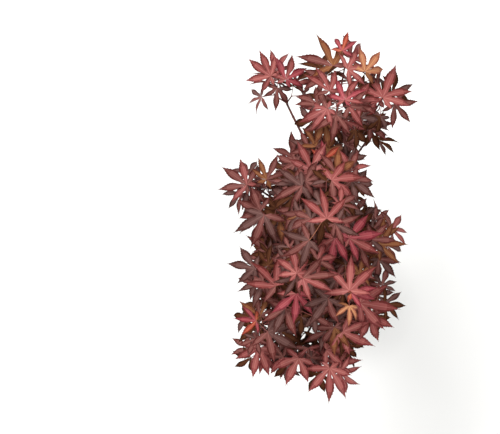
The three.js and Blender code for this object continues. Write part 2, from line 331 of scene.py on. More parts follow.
def apply_modifiers(piece):
    """Gives a piece the mesh that its modifiers make."""
    mesh = bpy.data.meshes.new_from_object(piece.evaluated_get(bpy.context.evaluated_depsgraph_get()))
    piece.modifiers.clear()
    piece.data = mesh


def unit(v):
    """A vector of length 1, the same way."""
    return v / max(norm(v), 1e-12)


def turned(a, b, angle):
    """Two coordinates, turned from the first axis towards the second."""
    return a * np.cos(angle) - b * np.sin(angle), a * np.sin(angle) + b * np.cos(angle)


def bezier(a, b, c, d, count):
    """So many points along a cubic curve."""
    t = np.linspace(0, 1, count)[:, None]
    return (1 - t) ** 3 * a + 3 * (1 - t) ** 2 * t * b + 3 * (1 - t) * t ** 2 * c + t ** 3 * d


def lengths_along(line):
    """How far along a line each of its points is."""
    return np.concatenate([[0], np.cumsum(norm(np.diff(line, axis=0), axis=1))])


def around(sides):
    """The angles of the points of a ring."""
    return np.linspace(0, 2 * math.pi, sides, endpoint=False)


def rings(path, sides):
    """The directions from each point of a path to a ring about it. They turn as little as they can."""
    tangents = np.gradient(path, axis=0)
    tangents /= norm(tangents, axis=1, keepdims=True)
    side = unit(np.cross(tangents[0], ODD_WAY))
    across = []
    for tangent in tangents:
        side = unit(side - tangent * (side @ tangent))
        across.append(side)
    across = np.array(across)
    over = np.cross(tangents, across)
    turn = around(sides)[:, None]
    return np.cos(turn) * across[:, None] + np.sin(turn) * over[:, None]


def ring_faces(rows, sides):
    """The quads between rings of points, and the triangles that close their ends to two last points."""
    grid = np.arange(rows * sides).reshape(rows, sides)
    after = np.roll(grid, -1, axis=1)
    quads = np.stack([grid[:-1], after[:-1], after[1:], grid[1:]], axis=-1).reshape(-1, 4)
    foot = np.stack([np.full(sides, grid.size), after[0], grid[0]], axis=-1)
    tip = np.stack([np.full(sides, grid.size + 1), grid[-1], after[-1]], axis=-1)
    return quads, np.concatenate([foot, tip])


def tube(path, radii, sides):
    """A closed tube's vertices, quads and triangles, with radii for its path's points or its rings'."""
    verts = path[:, None] + rings(path, sides) * np.reshape(radii, (len(path), -1, 1))
    verts = np.concatenate([verts.reshape(-1, 3), path[:1], path[-1:]])
    return verts, *ring_faces(len(path), sides)


# ---------- one leaf
# Lengths here are in millimetres.
# A lobe has columns of points: rim, mid, vein, vein, mid, rim across the top, then the keel below.
STRIPS = ("rim", "blade", "vein", "blade", "rim", "under", "under")  # between each column and the next
STRIP_PARTS = {  # the parts of the leaf along a strip, and where in the lobe each begins
    "rim": ((0.0, "blade"), (0.1, "flush"), (0.35, "rim")),
    "blade": ((0.0, "blade"), (0.6, "flush"), (0.85, "rim")),
    "vein": ((0.0, "vein"), (0.7, "blade")),
    "under": ((0.0, "under"),),
}
LEAF_FORMS = {  # teeth on a side of a lobe, its fold in degrees, its bow in radians
    "crown": (9, (14, 32), (0.05, 0.35)),
    "inner": (9, (14, 32), (0.25, 0.7)),
    "shade": (7, (10, 28), (0.25, 0.7)),
    "young": (9, (24, 40), (0.4, 0.8)),
}
LEAF_KINDS = {  # lobes: each one's angle from the middle one, and its share of that one's length
    7: ((0, 1.0), (41, 0.93), (84, 0.7), (128, 0.34)),
    5: ((0, 1.0), (46, 0.92), (97, 0.64)),
}
FIVE_LOBED = 0.6  # the share of leaves with five lobes, not seven
BASAL, FEWER = 0.5, 3  # lobes under this share of the middle one have so many teeth fewer
ANGLE_SPREAD, LIFT_SPREAD = 3, 6  # of the lobes' angles and lifts, in degrees
LENGTH_SPREAD = 0.07  # of the side lobes
SKIRT = (0.1, 0.35)  # how far the hindmost lobes sink, in radians
WEB_ROWS = 2  # rows of points in the web
WEB_END = math.tan(math.radians(26))  # how wide the web is beyond the hindmost lobes
SINUS = 0.17  # how far out the lobes stay joined, in lengths of the middle one
WIDTH = (0.106, 0.144)  # a lobe's greatest half width, as a share of its length
WIDENS, NARROWS = 1.6, 2.15  # powers, from the foot and to the point of a lobe
LEAST_WIDTH = 0.12
TOOTH = (0.16, 0.26)  # how far teeth stand out
TOOTH_LEAN = 0.45  # how far forward they point, in rows
RIM = 0.6  # where the rim begins, in half widths of the lobe
VEIN, VEIN_FOOT = 0.1, 0.38  # half width of a vein, and what its foot adds
VEIN_SHARE = 0.4  # of the lobe's half width, at most
PLEAT = 0.14  # the waves of the blade between its side veins
CUSHION, VEIN_RISE = 0.16, 0.05  # how far the blade's middle and the vein stand up
KEEL, KEEL_FOOT = 0.28, 0.1  # the lobe's thickness below its vein, and what its foot adds
FOLD_START, FOLD_LENGTH = 0.6, 1.5  # where the fold opens, in lengths of the web
TWIST, SWING, BOW_SPREAD = 0.34, 0.065, 0.16  # how much lobes vary in these
BOW_POWER = 1.3  # how fast a lobe's slope grows along it
LEAST_BOW, BOW_PULL = 0.02, 9.2  # a bow's shortening is divided by the second


def part_at(strip, share):
    """The number of the part of the leaf that a strip is in, so far along a lobe."""
    return PART_NAMES.index([part for start, part in STRIP_PARTS[strip] if start <= share][-1])


def lobe_faces(teeth):
    """The faces of a lobe with so many teeth, and which part of the leaf each belongs to."""
    rows = WEB_ROWS + 2 * teeth
    quads, tris = ring_faces(rows, len(STRIPS))
    parts = np.array([[part_at(strip, row / rows) for strip in STRIPS] for row in range(rows)])
    return quads, parts[:-1].ravel(), tris, parts[[0, -1]].ravel()


LOBE_FACES = {teeth - fewer: lobe_faces(teeth - fewer)
              for teeth, _, _ in LEAF_FORMS.values() for fewer in (0, FEWER)}


def lobe(length, sinus, left, right, teeth, shape, rng):
    """One lobe's vertices. It points along +Y and faces +Z.
    left and right are the tangents of half the angle to the next lobe on each side."""
    row = np.arange(1, 2 * teeth + 1)
    u = row / (2 * teeth + 1)
    along = np.concatenate([sinus * np.arange(1, WEB_ROWS + 1) / WEB_ROWS, sinus + u * (length - sinus)])
    to_foot = 1 - along / length
    swell = u ** WIDENS * (1 - u) ** NARROWS
    swell *= shape["width"] * length / swell.max()
    up_down = np.where(row % 2 == 0, 1.0, -1.0)
    tooth = up_down * shape["tooth"] * np.sin(math.pi * u) ** 0.6
    widths = []
    for web in (left, right):
        free = sinus * web * (1 - u) ** 4 + swell + tooth
        widths.append(np.concatenate([along[:WEB_ROWS] * web, np.maximum(free, LEAST_WIDTH)]))
    web_zero, zero = np.zeros(WEB_ROWS), np.zeros(len(along))
    pleat = np.concatenate([web_zero, up_down * PLEAT * (1 - u)])
    vein = VEIN_FOOT * to_foot + VEIN
    lean = np.concatenate([web_zero, up_down > 0]) * TOOTH_LEAN * (length - sinus) / (2 * teeth + 1)
    across = np.stack([-widths[0], -widths[0] * RIM, -np.minimum(vein, widths[0] * VEIN_SHARE),
                       np.minimum(vein, widths[1] * VEIN_SHARE), widths[1] * RIM, widths[1], zero], axis=1)
    ahead = np.stack([lean, zero, zero, zero, zero, lean, zero], axis=1) + along[:, None]
    open_up = np.clip((along / sinus - FOLD_START) / FOLD_LENGTH, 0, 1)[:, None]
    above = np.abs(across) * math.tan(shape["fold"]) * open_up
    above[:, [1, 4]] += CUSHION + pleat[:, None]
    above[:, [2, 3]] += VEIN_RISE
    above[:, 6] -= KEEL + KEEL_FOOT * to_foot
    points = np.stack([across, ahead, above], axis=-1).reshape(-1, 3)
    points = np.concatenate([points, [[0, 0, 0]], [[0, length, 0]]])
    return bend(points, length, shape["bow"], rng)


def bend(points, length, bow, rng):
    """Twists a lobe about its length, swings it sideways, and bows it down towards its point."""
    s = np.clip(points[:, 1] / length, 0, 1.1)
    twist = rng.normal(0, TWIST) * s
    x, z = turned(points[:, 0], points[:, 2], twist)
    x = x + rng.normal(0, SWING) * s ** 2 * length
    bow = max(bow + rng.normal(0, BOW_SPREAD), LEAST_BOW)
    slope = bow * s ** BOW_POWER
    drop = bow * s ** (BOW_POWER + 1) / (BOW_POWER + 1)
    shorter = bow ** 2 * s ** (2 * BOW_POWER + 1) / BOW_PULL
    y = length * (s - shorter) + z * np.sin(slope)
    return np.stack([x, y, z * np.cos(slope) - length * drop], axis=1)


def leaf(size, kind, teeth, shape, rng):
    """A leaf's lobes, as (vertices, teeth). Its stalk joins at the origin, and it points along +Y."""
    axes = []
    for angle, share in LEAF_KINDS[kind]:
        for side in ((1,) if angle == 0 else (-1, 1)):
            uneven = 1 if angle == 0 else 1 + rng.normal(0, LENGTH_SPREAD)
            axes.append((math.radians(side * (angle + rng.normal(0, ANGLE_SPREAD))), share * uneven))
    axes.sort()
    webs = [WEB_END, *np.tan(np.diff([angle for angle, _ in axes]) / 2), WEB_END]
    made = []
    for (angle, share), left, right in zip(axes, webs, webs[1:]):
        fine = teeth - FEWER if share < BASAL else teeth
        sinus = min(SINUS * size, 0.5 * size * share)
        points = lobe(size * share, sinus, left, right, fine, shape, rng)
        lift = math.radians(rng.normal(0, LIFT_SPREAD)) - shape["skirt"] * abs(angle) / math.pi
        x, y, z = points.T
        y, z = turned(y, z, lift)
        x, y = turned(x, y, -angle)
        made.append((np.stack([x, y, z], axis=1), fine))
    return made


def add_leaf(heap, at, forward, normal, size, tone, form, rng):
    """Puts a leaf into the heap. at is in metres, size in millimetres."""
    side = unit(np.cross(forward, normal))
    turn = np.stack([side, forward, np.cross(side, forward)])
    kind = 5 if form == "young" or rng.random() < FIVE_LOBED else 7
    teeth, fold, bow = LEAF_FORMS[form]
    shape = {"width": rng.uniform(*WIDTH), "tooth": rng.uniform(*TOOTH),
             "fold": math.radians(rng.uniform(*fold)), "bow": rng.uniform(*bow),
             "skirt": rng.uniform(*SKIRT)}
    for points, fine in leaf(size, kind, teeth, shape, rng):
        quads, quad_parts, tris, tri_parts = LOBE_FACES[fine]
        first = TONE_NAMES.index(TONES[tone][-1] if rng.random() < KIN_SHARE else tone) * len(PARTS)
        heap.add(at + points @ turn * MM, quads, tris, first + quad_parts, first + tri_parts)


# ---------- the frame's limbs
CUTS = np.linspace(0.1, 0.94, 15)  # where a limb is cut across, as shares of its length
LINE_STEP = 0.0013  # metres between the points of its line


def coordinates(points, name="co"):
    """The positions of a mesh's vertices, or another of their vectors."""
    return np.array([getattr(point, name)[:] for point in points])


def fed_by(node):
    """The name of the spray that a limb feeds."""
    return LEADER_SPRAYS.get(node, node.split("_", 1)[-1])


def mass_box(spray):
    """The low and high corners of the mass that a spray replaces."""
    return (np.array(corner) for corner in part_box("leaves_" + spray))


def limb_line(node):
    """A smooth middle line and radii for a limb of the frame, from foot to tip, found by cutting it across.
    The trunk's tip is its top."""
    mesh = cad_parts[node].data
    points = coordinates(mesh.vertices)
    edges = np.array([edge.vertices[:] for edge in mesh.edges])
    goal = UP if node == "trunk" else sum(mass_box(fed_by(node))) / 2
    tip = points[np.argmin(norm(points - goal, axis=1))]
    foot = points[np.argmax(norm(points - tip, axis=1))]
    height = points @ unit(tip - foot)
    low, high = height.min(), height.max()
    middles, radii = [], []
    for station in low + (high - low) * CUTS:
        a, b = height[edges].T
        hit = (a - station) * (b - station) < 0
        share = ((station - a[hit]) / (b[hit] - a[hit]))[:, None]
        cut = points[edges[hit, 0]] * (1 - share) + points[edges[hit, 1]] * share
        middles.append(cut.mean(axis=0))
        radii.append(np.median(norm(cut - middles[-1], axis=1)))
    even = np.linspace(0, 1, max(int((high - low) / LINE_STEP), 8))
    line = np.polyval(np.polyfit(CUTS, middles, 4), even[:, None])
    return line, np.polyval(np.polyfit(CUTS, radii, 1), even)


LINES = {node: limb_line(node) for node in WOODEN}
FEEDERS = {fed_by(node): node for node in LIMBS}


# ---------- growth
MARGIN = 0.006  # how far leaf tips may pass the outline of the solids
CROWN_LOW, CROWN_HIGH = np.array(cad_box[0]) - MARGIN, np.array(cad_box[1]) + MARGIN
REGIONS = ("far", "mid", "left", "right", "near", "tip", "low")
TIP_MASSES = ("near_core", "near_left", "near_left_tip", "near_tip", "near_tip_left")
WOOD_KINDS = (("twig", "#5b2e2a"), ("stalk_red", "#84403a"), ("stalk_amber", "#8f563c"))
STALK_RED, STALK_AMBER = 1, 2  # their places among the kinds of wood
AMBER_SHARE = 0.14
STALK_ROWS = 10
STALK_GIRTH = ((0, 0.12, 0.5, 1), (1.0, 0.6, 0.46, 0.62))  # at these shares of its length
BUD_LENGTH, BUD_RADII = 2.6, (0.5, 0.95, 0.9, 0.5, 0.1)  # in millimetres
LEAF_MIDDLE = 0.45  # how far out a leaf's middle is, in leaf sizes
LEAF_TILT = 0.24  # spread of its sideways tilt
NEARNESS = (1, 1, 0.8)  # leaves may lie closer in height
PLACES = 14  # tried for a leaf
CROWN_LEVEL, TWIG_END = 0.72, 0.25  # heights above a mass's middle, in half heights
TWIG_ROWS = 18
END_LEAF, LOW_ROW = 6, -4  # crown leaves less far down hang at the twig's end, the others at this row
LOWER_OUT = (0.01, 0.03)  # how far out a lower leaf's foot is
LOWER_PAIRS = ((13, 34, 0.4), (9, 35, 0.5), (5, 33, 0.6))  # row of the twig, leaf size, droop
TURN_SPREAD = 0.25  # of the quarter turn between pairs, in radians
SPUR_START = (("leader", 0.45), ("bough_far", 0.9), ("bough", 0.3))  # share of a limb left bare
SPUR_GAP = 0.018
SPUR_ROOM = 0.0135  # least distance between leaf middles
SPUR_LENGTH, SPUR_STALK = (0.006, 0.02), (0.01, 0.022)
SPUR_LEAF, SPUR_DROOP = (28, 38), (0.35, 0.75)
SPUR_SPREAD = (0.5, 0.9)  # the angle of its leaves from its way
# dealt to the spurs' leaves inside the crown: partly the colour of shaded leaves, partly painted shade
SHADE_TONES = (SHADE, PLUM, SHADE, BURGUNDY, SHADE)


def level(degrees):
    """The level direction at an angle from +X."""
    return np.array([*turned(1, 0, math.radians(degrees)), 0.0])


def spun(way, angle):
    """A direction turned about the vertical."""
    return np.array([*turned(way[0], way[1], angle), way[2]])


class Grower:
    """Hangs leaves on twigs. taken holds the middles of all the leaves hung so far."""

    def __init__(self, leaves, twigs, taken, rng):
        self.leaves, self.twigs, self.taken, self.rng = leaves, twigs, taken, rng

    def stalk(self, node, at, forward, size):
        """A leaf stalk from a node on the twig to the foot of a blade."""
        span = norm(at - node)
        way = (at - node) / span
        start, arrive = unit(way + UP * 0.3) * span, unit(way * 0.7 + UP * 0.5 + forward * 0.3) * span
        path = bezier(node, node + start * 0.35, at - arrive * 0.3, at + UP * 0.0002, STALK_ROWS)
        girth = np.interp(np.linspace(0, 1, STALK_ROWS), *STALK_GIRTH)
        paint = STALK_AMBER if self.rng.random() < AMBER_SHARE else STALK_RED
        self.twigs.add(*tube(path, girth * MM * (0.65 + size / 120), 6), paint)

    def hang_leaf(self, node, at, way, droop, size, tone, form):
        """Puts a leaf's foot at a place, pointing a level way and drooping from it, and draws its stalk."""
        forward = unit(way * math.cos(droop) - UP * math.sin(droop))
        tip = at + forward * size * MM
        at = at + np.clip(tip, CROWN_LOW, CROWN_HIGH) - tip
        side = np.cross(forward, UP)
        normal = unit(np.cross(side, forward) + side * self.rng.normal(0, LEAF_TILT))
        add_leaf(self.leaves, at, forward, normal, size, tone, form, self.rng)
        self.stalk(node, at, forward, size)
        self.taken.append(at + forward * size * LEAF_MIDDLE * MM)

    def room(self, at, way, size):
        """How far a leaf's middle would be from the nearest other."""
        gaps = (np.array(self.taken) - (at + way * size * LEAF_MIDDLE * MM)) * NEARNESS
        return norm(gaps, axis=1).min()

    def buds(self, node, tangent):
        """A pair of small pointed buds."""
        side = unit(np.cross(tangent, self.rng.normal(size=3)))
        for way in (side, -side):
            path = np.linspace(node, node + (way * 0.6 + tangent) * BUD_LENGTH * MM, len(BUD_RADII))
            self.twigs.add(*tube(path, np.array(BUD_RADII) * MM, 6), STALK_RED)


class Spray(Grower):
    """Grows one mass: a twig from the bough's tip, with pairs of leaves at its nodes."""

    def __init__(self, name, *growing):
        super().__init__(*growing)
        low, high = mass_box(name)
        self.centre, self.half = (low + high) / 2, (high - low) / 2
        line, radii = LINES[FEEDERS[name]]
        self.root, self.girth, self.heading = line[-1], radii[-1], unit(line[-1] - line[-6])
        self.pairs, self.tones, self.crown = SPRAYS[name]
        self.dealt = 0

    def next_tone(self):
        """The tone of the next leaf below the crown."""
        self.dealt += 1
        return self.tones[self.dealt % len(self.tones)]

    def reach(self, way):
        """How far the mass goes from its middle in a level direction."""
        return 1 / math.hypot(way[0] / self.half[0], way[1] / self.half[1])

    def free_place(self, node, way, size):
        """Of several places for a leaf's foot, the one furthest from other leaves."""
        best = (-1,)
        for _ in range(PLACES):
            aim = spun(way, self.rng.normal(0, 0.5))
            out = np.clip(self.reach(aim) - 0.6 * size * MM, *LOWER_OUT) * self.rng.uniform(0.8, 1.35)
            at = node + aim * out + UP * self.rng.uniform(-0.002, 0.014)
            room = self.room(at, aim, size)
            if room > best[0]:
                best = (room, at, aim)
        return best[1:]

    def lower_pair(self, node, way, size, droop, deep):
        """Two leaves on opposite sides of a node. Those deep in the crown take the shade tone, partly their
        own colour and partly painted shade.
        """
        for side in (1, -1):
            grown = size * self.rng.uniform(0.84, 1.16)
            at, aim = self.free_place(node, way * side, grown)
            tone = SHADE if deep else self.next_tone()
            self.hang_leaf(node, at, aim, droop + self.rng.normal(0, 0.14), grown, tone, "inner")

    def crown_leaves(self, path):
        """The leaves at the end of the twig, which show from above."""
        top = self.centre + UP * self.half[2] * CROWN_LEVEL
        for east, north, down, degrees, size, tone in self.crown:
            form = "young" if size < YOUNG_SIZE else "crown"
            foot = top + np.array([east, north, -down]) * MM
            way = spun(level(degrees), self.rng.normal(0, 0.04))
            droop = self.rng.uniform(-0.35, -0.1) if form == "young" else self.rng.uniform(-0.06, 0.12)
            node = path[-1] if down < END_LEAF else path[LOW_ROW]
            self.hang_leaf(node, foot, way, droop, size, tone, form)

    def grow(self):
        """The twig, the leaves of its crown, and the pairs below them."""
        end = self.centre + UP * self.half[2] * TWIG_END
        outward = unit(self.centre * [1, 1, 0])
        span = norm(end - self.root)
        path = bezier(self.root - self.heading * 0.002, self.root + self.heading * span * 0.35,
                      end - unit(UP + outward * 0.4) * span * 0.3, end, TWIG_ROWS)
        self.twigs.add(*tube(path, np.linspace(self.girth, 0.8 * MM, TWIG_ROWS), 8))
        self.crown_leaves(path)
        for pair, (row, size, droop) in enumerate(LOWER_PAIRS[:self.pairs]):
            turn = math.pi / 2 * (pair + 1) + self.rng.normal(0, TURN_SPREAD)
            self.lower_pair(path[row], spun(level(self.crown[0][3]), turn), size, droop, pair > 0)
            self.buds(path[row], unit(path[row + 1] - path[row]))


class Spurs(Grower):
    """Short side twigs along a limb, each with a pair of shaded leaves, in darker tones that are partly
    painted shade, wherever there is room.
    """

    def grow(self, node):
        """Pairs of spurs all along one limb."""
        line, _ = LINES[node]
        along = lengths_along(line)
        first = next(share for start, share in SPUR_START if node.startswith(start))
        turn = self.rng.uniform(0, math.pi)
        for place in np.arange(first * along[-1], 0.95 * along[-1], SPUR_GAP):
            index = min(np.searchsorted(along, place * self.rng.uniform(0.96, 1.04)), len(line) - 2)
            tangent = unit(line[index + 1] - line[index])
            turn += math.pi / 2 + self.rng.normal(0, TURN_SPREAD)
            for side in (turn, turn + math.pi):
                self.spur(line[index], tangent, level(math.degrees(side)))

    def spur(self, foot, tangent, way):
        """One side twig that leans out, forward and up, with leaves that spread about its way."""
        out = unit(foot * [1, 1, 0] + 1e-6)
        lean = unit(way + out * 0.5 + tangent * 0.4 + UP * 0.25)
        length = self.rng.uniform(*SPUR_LENGTH)
        end = foot + lean * length
        aim = unit(lean * [1, 1, 0])
        hung = []
        for spread in (self.rng.uniform(*SPUR_SPREAD), -self.rng.uniform(*SPUR_SPREAD)):
            size = self.rng.uniform(*SPUR_LEAF)
            leaf_way = spun(aim, spread)
            at = end + leaf_way * self.rng.uniform(*SPUR_STALK) + UP * self.rng.uniform(0.0, 0.01)
            if self.room(at, leaf_way, size) > SPUR_ROOM:
                hung.append((at, leaf_way, size))
        if hung:
            path = bezier(foot, foot + lean * length * 0.4, end - UP * length * 0.15, end, 7)
            self.twigs.add(*tube(path, np.linspace(1.0, 0.75, 7) * MM, 7))
        for at, leaf_way, size in hung:
            tone = SHADE_TONES[self.rng.integers(len(SHADE_TONES))]
            self.hang_leaf(end, at, leaf_way, self.rng.uniform(*SPUR_DROOP), size, tone, "shade")


def region(name):
    """The part of the crown that a spray or limb belongs to."""
    first = name.split("_")[0]
    if name in TIP_MASSES:
        return "tip"
    return first if first in REGIONS else "mid"


def grow_crown():
    """All sprays and spurs, joined by region into a piece of leaves and one of twigs and stalks."""
    tones = leaf_materials()
    wood_kinds = [plain(*kind) for kind in WOOD_KINDS]
    heaps = {name: (Heap(), Heap()) for name in REGIONS}
    taken = []
    names = sorted(SPRAYS, key=lambda name: -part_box("leaves_" + name)[1][2])
    for number, name in enumerate(names):
        Spray(name, *heaps[region(name)], taken, np.random.default_rng([SEED, number])).grow()
    for number, node in enumerate(LIMBS):
        parts = heaps[region(node.split("_", 1)[1])]
        Spurs(*parts, taken, np.random.default_rng([SEED, LIMB_STREAM + number])).grow(node)
    for part, (leaves, twigs) in heaps.items():
        foliage = leaves.build("foliage_" + part, tones)
        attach(foliage, ROOT)
        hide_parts(*("leaves_" + name for name in names if region(name) == part))
        stems = twigs.build("twigs_" + part, wood_kinds)
        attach(stems, ROOT)


# ---------- trunk and boughs
TRUNK_SIDES = 48
ROOT_FLARE, ROOT_REACH = 0.5, 0.009  # how much roots widen the trunk's foot, and how far up
GRAFT_SWELL, GRAFT_HEIGHT, GRAFT_REACH = 0.16, 0.036, 0.006
SUNK_ROWS = 4
COLLAR, COLLAR_REACH = 0.45, 2.2  # how much wider a limb's foot is, and for how many of its radii
LIMB_FORMS = {  # how deep its foot is sunk, the gap between leaf scars, and its sides
    "leader": (0.006, 0.03, 20),
    "bough": (0.0035, 0.019, 12),
}
SCAR_SWELL, SCAR_REACH = (0.16, 0.28), 0.0011
NECK, NECK_RISE, NECK_REACH = 0.05, 0.003, 0.001  # the waist above a scar
BARK_GRAIN = 0.00075  # voxel size of the fused skin
BARK_RELIEF = 0.00022
RELIEF_FADE = (0.12, 0.3), (1.0, 0.35)  # heights, and the share of the relief at them
FISSURES, WRINKLES = (900, 900, 110), (300, 300, 1500)  # noise scales along X, Y and Z


def sunk(line, radii, depth):
    """Carries a limb's foot back into its parent, with a collar where it leaves it."""
    back = unit(line[0] - line[2])
    extra = line[0] + back * np.linspace(depth, 0, SUNK_ROWS + 1)[:-1, None]
    line = np.concatenate([extra, line])
    radii = np.concatenate([np.full(SUNK_ROWS, radii[0]), radii])
    past = np.maximum(lengths_along(line) - depth, 0) / (COLLAR_REACH * radii[0])
    return line, radii * (1 + COLLAR * np.exp(-past ** 2))


def knuckled(line, radii, gap, rng):
    """A limb's radii, swollen at its old leaf scars with a slight neck above each."""
    along = lengths_along(line)
    place = rng.uniform(0.5, 1) * gap
    swell = np.ones(len(line))
    while place < along[-1] - 0.004:
        swell += rng.uniform(*SCAR_SWELL) * np.exp(-((along - place) / SCAR_REACH) ** 2)
        swell -= NECK * np.exp(-((along - place - NECK_RISE) / NECK_REACH) ** 2)
        place += gap * rng.uniform(0.75, 1.25)
    return radii * swell


def trunk_tube(line, radii):
    """The trunk, with roots flaring at its foot and the healed step of a graft a little way up."""
    turn = around(TRUNK_SIDES)
    up = (line[:, 2] - line[0, 2])[:, None]
    roots = 0.5 + 0.5 * np.cos(3 * turn + 0.6) + 0.25 * np.cos(5 * turn + 2.0)
    flare = 1 + ROOT_FLARE * roots * np.exp(-(up / ROOT_REACH) ** 1.5)
    graft = 1 + GRAFT_SWELL * np.exp(-((up - GRAFT_HEIGHT - 0.003 * np.cos(turn)) / GRAFT_REACH) ** 2)
    ribs = 1 + 0.03 * np.cos(4 * turn + up * 30) + 0.02 * np.cos(7 * turn - up * 45)
    return tube(line, radii[:, None] * flare * graft * ribs, TRUNK_SIDES)


def fused(piece):
    """Joins the closed pieces of a mesh into one skin."""
    remesh = piece.modifiers.new("fuse", "REMESH")
    remesh.mode = "VOXEL"
    remesh.voxel_size = BARK_GRAIN
    smooth = piece.modifiers.new("smooth", "SMOOTH")
    smooth.factor = 0.5
    smooth.iterations = 3
    apply_modifiers(piece)
    piece.data.shade_smooth()


def roughened(piece):
    """Presses the fissures and wrinkles of young bark into a skin, stronger low down."""
    mesh = piece.data
    co, normal = coordinates(mesh.vertices), coordinates(mesh.vertices, "normal")
    push = np.array([noise.noise(at * FISSURES) + 0.6 * noise.noise(at * WRINKLES) for at in co])
    push *= BARK_RELIEF * np.interp(co[:, 2], *RELIEF_FADE)
    mesh.vertices.foreach_set("co", (co + normal * push[:, None]).ravel())
    mesh.update()


def wood():
    """One skin for the trunk and leaders, and the thinner boughs that leave them."""
    bark = bark_material()
    rng = np.random.default_rng([SEED, BARK_STREAM])
    thick, thin = Heap(), Heap()
    for node in LIMBS:
        kind = node.split("_")[0]
        depth, gap, sides = LIMB_FORMS[kind]
        line, radii = sunk(*LINES[node], depth)
        heap = thick if kind == "leader" else thin
        heap.add(*tube(line, knuckled(line, radii, gap, rng), sides))
    thick.add(*trunk_tube(*LINES["trunk"]))
    trunk = thick.build("bark_trunk", [bark])
    fused(trunk)
    roughened(trunk)
    boughs = thin.build("bark_boughs", [bark])
    for piece, kinds in ((trunk, ("trunk", "leader")), (boughs, ("bough",))):
        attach(piece, ROOT)
        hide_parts(*(node for node in WOODEN if node.split("_")[0] in kinds))


# ---------- pot and compost
POT_SIDES = 128
POT_CREASE = 40  # degrees
FOOT_SHARE, NECK_SHARE = 0.701, 0.948  # radii of the foot and under the rim, in rim radii
RIM_DEPTH = 0.013
ROLL = 0.0016  # radius of the rim's rolled edge
WALL = 0.0024
FLOOR = 0.003
HUB = 0.0008  # radius of the pinhole in the middle of the floor
STEP, STEP_SHARE = 0.0004, 0.085  # a line around the wall, low down
DRAIN_CIRCLE, DRAIN_RADIUS, DRAINS = 0.038, 0.005, 6
COMPOST_PLAY = 0.0004  # between the compost and the pot
RINGS, RING_SIDES = 60, 200  # of the compost's top
MOUND, MOUND_REACH, SETTLED, SETTLED_REACH = 0.0022, 0.03, 0.0012, 0.07
LUMPS = (0.0016, 60, 1.3), (0.0011, 210, 4.1), (0.0007, 700, 8.6)  # height, noise scale and noise layer
CRUMBS, CHIPS = 1500, 90
CRUMB_SIZE, CHIP_SIZE = (0.4, 1.3), (1.8, 4.2)  # in millimetres


def pot_material():
    """Black recycled plastic: semi-matt, a little dusty and scuffed."""
    material, tree, shader = new_material("black_plastic", "#191919", 0.42, 0.5)
    dust = ramp(tree, [(0.4, "#161616"), (0.62, "#202020"), (0.8, "#2b2927")], noise_factor(tree, 60, 6))
    tree.links.new(dust, shader.inputs["Base Color"])
    scuff = ramp(tree, [(0.35, "#4d4d4d"), (0.7, "#8a8a8a")], noise_factor(tree, 140, 8))
    tree.links.new(scuff, shader.inputs["Roughness"])
    bump(tree, shader, noise_factor(tree, 900, 3), 0.12, 0.0002)
    return material


def compost_material():
    """Damp peat and bark: very dark brown with paler fibres."""
    material, tree, shader = new_material("damp_compost", "#2b1c14", 0.9, 0.25)
    crumbs = ramp(tree, [(0.35, "#160e0a"), (0.52, "#2c1d15"), (0.66, "#49321f"), (0.78, "#7a5a3c")],
                  noise_factor(tree, 420, 10))
    tree.links.new(crumbs, shader.inputs["Base Color"])
    bump(tree, shader, noise_factor(tree, 1300, 8), 0.6, 0.0006)
    return material


def lathe(profile):
    """A closed solid turned about +Z. The profile is a closed loop of (radius, height)."""
    turn = around(POT_SIDES)[:, None]
    radius, height = np.array(profile).T
    verts = np.stack([*turned(radius, 0, turn), height + 0 * turn], axis=-1).reshape(-1, 3)
    grid = np.arange(len(verts)).reshape(POT_SIDES, -1)
    after = np.roll(grid, -1, axis=0)
    quads = np.stack([grid, after, np.roll(after, -1, axis=1), np.roll(grid, -1, axis=1)], axis=-1)
    return verts, quads.reshape(-1, 4), np.zeros((0, 3), int)


def pot_profile():
    """Outside up from the foot, over the rolled rim, down the inside and across the floor."""
    (low, _, _), (high, _, top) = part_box("pot")
    rim, lip = (high - low) / 2, top - RIM_DEPTH
    foot, neck = rim * FOOT_SHARE, rim * NECK_SHARE
    slope = (neck - foot) / lip
    out = [(HUB, 0), (foot - 0.0016, 0), (foot - 0.0004, 0.0004), (foot, 0.0016)]
    for share in (0.08, STEP_SHARE, 0.5, 0.9, 0.94, 0.98):
        z = lip * share
        out.append((foot + slope * z - (STEP if share == STEP_SHARE else 0), z))
    out += [(neck, lip - 0.0004), (rim - 0.0012, lip), (rim - 0.0002, lip + 0.0006), (rim, lip + 0.002),
            (rim, top - 0.004)]
    out += [(rim - ROLL + ROLL * math.cos(a), top - ROLL + ROLL * math.sin(a))
            for a in np.radians([10, 30, 50, 70, 90, 115, 140, 165, 180])]
    out += [(rim - 0.0036, top - 0.006), (neck - WALL, lip - 0.001)]
    out += [(foot + slope * z - WALL, z) for z in (lip * 0.6, 0.012, FLOOR + 0.002)]
    out += [(foot - WALL - 0.0015, FLOOR), (HUB, FLOOR)]
    return out


def pot():
    """A round nursery pot with a rolled rim and drainage holes."""
    heap = Heap()
    heap.add(*lathe(pot_profile()))
    piece = heap.build("nursery_pot", [pot_material()])
    drills = Heap()
    for turn in around(DRAINS):
        x, y = turned(DRAIN_CIRCLE, 0, turn)
        drills.add(*tube(np.array([(x, y, -0.004), (x, y, 0.009)]), [DRAIN_RADIUS] * 2, 32))
    drill = drills.build("drill", [None])
    cut = piece.modifiers.new("drain", "BOOLEAN")
    cut.operation = "DIFFERENCE"
    cut.solver = "EXACT"
    cut.object = drill
    apply_modifiers(piece)
    piece.data.set_sharp_from_angle(angle=math.radians(POT_CREASE))
    bpy.data.objects.remove(drill)
    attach(piece, ROOT)
    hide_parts("pot")


